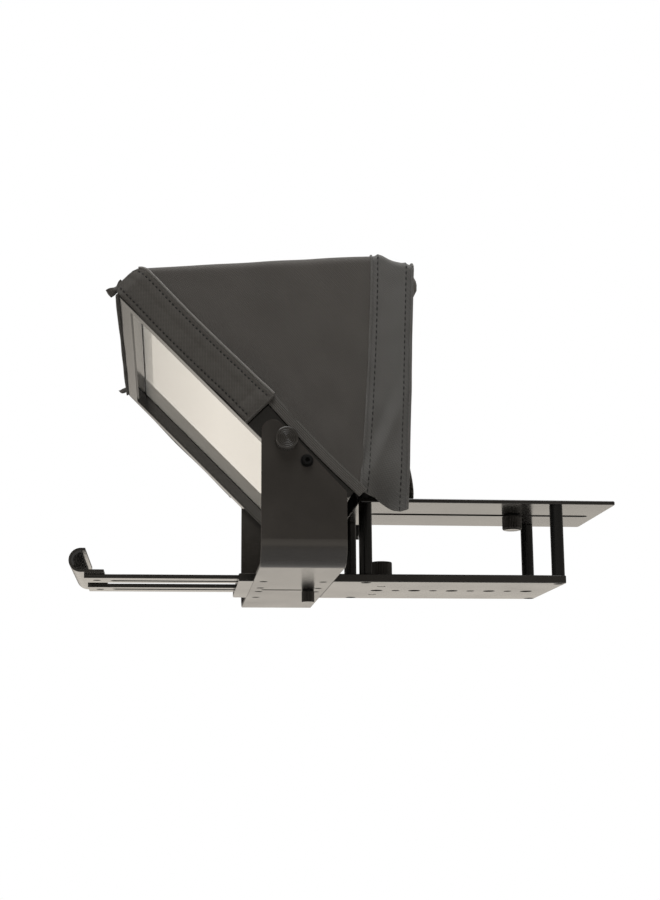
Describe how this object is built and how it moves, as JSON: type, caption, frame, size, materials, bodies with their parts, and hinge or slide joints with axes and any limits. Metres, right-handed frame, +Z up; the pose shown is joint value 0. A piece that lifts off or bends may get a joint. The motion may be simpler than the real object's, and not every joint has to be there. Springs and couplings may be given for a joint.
{
  "type": "teleprompter",
  "caption": "Through-the-glass teleprompter: tilting beam-splitter frame with a cloth hood on a U bracket, sliding tablet tray below and raised slotted camera plate behind.",
  "frame": {"origin": "centre of the tripod thread in the underside of the base plate", "axes": "+X towards the camera operator along the base plate, -X towards the person being filmed, +Z up"},
  "size_m": [0.417, 0.3162, 0.235],
  "materials": {
    "coated_plate": "satin black powder coat",
    "anodised_bar": "black anodised, fine satin",
    "turned_post": "black anodised, turned",
    "black_screw": "black oxide steel",
    "bright_steel": "zinc-plated steel",
    "knob_black": "black anodised, knurled and turned",
    "tray_metal": "satin black coated sheet",
    "liner_rubber": "matt black rubber",
    "pad_foam": "closed-cell foam",
    "mirror_glass": "beam-splitter coating, pale warm reflection",
    "retainer_plastic": "black moulded plastic",
    "hook_tape": "black hook tape",
    "hood_cloth": "black woven nylon",
    "hood_band_cloth": "black woven nylon, loose",
    "elastic_web": "ribbed black webbing"
  },
  "bodies": {
    "base": {"base_plate": "coated_plate", "mount_bracket": "coated_plate", "bracket_screws": "black_screw", "post_front_left": "turned_post", "post_front_right": "turned_post", "post_rear_left": "turned_post", "post_rear_right": "turned_post", "post_lower_screws": "black_screw", "post_upper_screws": "black_screw", "camera_plate": "coated_plate", "tray_washers": "bright_steel"},
    "tray": {"tray_rail_left": "tray_metal", "tray_rail_right": "tray_metal", "tray_lip": "tray_metal", "tray_lip_liner": "liner_rubber", "lip_screws": "black_screw"},
    "tray_clamp_left": {"tray_knob_left": "knob_black", "tray_knob_stud_left": "bright_steel"},
    "tray_clamp_right": {"tray_knob_right": "knob_black", "tray_knob_stud_right": "bright_steel"},
    "camera_slider": {"camera_screw_washer": "bright_steel"},
    "camera_screw": {"camera_screw_knob": "knob_black", "camera_screw_stud": "bright_steel"},
    "stop": {"rear_stop": "tray_metal", "rear_stop_pad": "pad_foam", "rear_stop_washer": "bright_steel"},
    "stop_screw": {"rear_stop_knob": "knob_black", "rear_stop_stud": "bright_steel"},
    "frame": {"frame_top_bar": "anodised_bar", "frame_bottom_bar": "anodised_bar", "frame_left_bar": "anodised_bar", "frame_right_bar": "anodised_bar", "corner_keys": "bright_steel", "corner_screws": "bright_steel", "beamsplitter_glass": "mirror_glass", "glass_gasket": "liner_rubber", "glass_retainer": "retainer_plastic", "pivot_screw_left": "black_screw", "pivot_screw_right": "black_screw", "pivot_washers": "bright_steel", "pivot_spacers": "retainer_plastic", "hook_strips": "hook_tape", "hood_side_left": "hood_cloth", "hood_side_right": "hood_cloth", "hood_top_panel": "hood_cloth", "hood_flap_left": "hood_cloth", "hood_flap_right": "hood_cloth", "hood_flap_top": "hood_cloth", "hood_band_left": "hood_band_cloth", "hood_band_right": "hood_band_cloth", "hood_band_top": "hood_band_cloth", "hood_rear_panel": "hood_band_cloth", "hood_elastic_left": "elastic_web", "hood_elastic_right": "elastic_web"},
    "tilt_lock_left": {"tilt_knob_left": "knob_black", "tilt_knob_stud_left": "bright_steel"},
    "tilt_lock_right": {"tilt_knob_right": "knob_black", "tilt_knob_stud_right": "bright_steel"}
  },
  "joints": [
    {"name": "frame_tilt", "type": "hinge", "parent": "base", "child": "frame", "pos_m": [-0.0982, 0, 0.0731], "axis": [0, 1, 0], "range_deg": [-5, 5]},
    {"name": "tilt_knob_left_spin", "type": "hinge", "parent": "frame", "child": "tilt_lock_left", "pos_m": [-0.11277, -0.15, 0.08767], "axis": [0, -1, 0], "continuous": true},
    {"name": "tilt_knob_right_spin", "type": "hinge", "parent": "frame", "child": "tilt_lock_right", "pos_m": [-0.11277, 0.15, 0.08767], "axis": [0, 1, 0], "continuous": true},
    {"name": "tray_slide", "type": "slide", "parent": "base", "child": "tray", "axis": [1, 0, 0], "range_m": [-0.025, 0.07]},
    {"name": "tray_knob_left_spin", "type": "hinge", "parent": "base", "child": "tray_clamp_left", "pos_m": [-0.03, -0.027, 0.01], "axis": [0, 0, 1], "continuous": true},
    {"name": "tray_knob_right_spin", "type": "hinge", "parent": "base", "child": "tray_clamp_right", "pos_m": [-0.03, 0.027, 0.01], "axis": [0, 0, 1], "continuous": true},
    {"name": "camera_screw_slide", "type": "slide", "parent": "base", "child": "camera_slider", "axis": [1, 0, 0], "range_m": [-0.105, 0.057]},
    {"name": "camera_screw_spin", "type": "hinge", "parent": "camera_slider", "child": "camera_screw", "pos_m": [0.0803, 0, 0.06], "axis": [0, 0, 1], "continuous": true},
    {"name": "rear_stop_slide", "type": "slide", "parent": "base", "child": "stop", "axis": [1, 0, 0], "range_m": [-0.034, 0]},
    {"name": "rear_stop_knob_spin", "type": "hinge", "parent": "stop", "child": "stop_screw", "pos_m": [-0.0843, 0, -0.003], "axis": [0, 0, 1], "continuous": true}
  ]
}
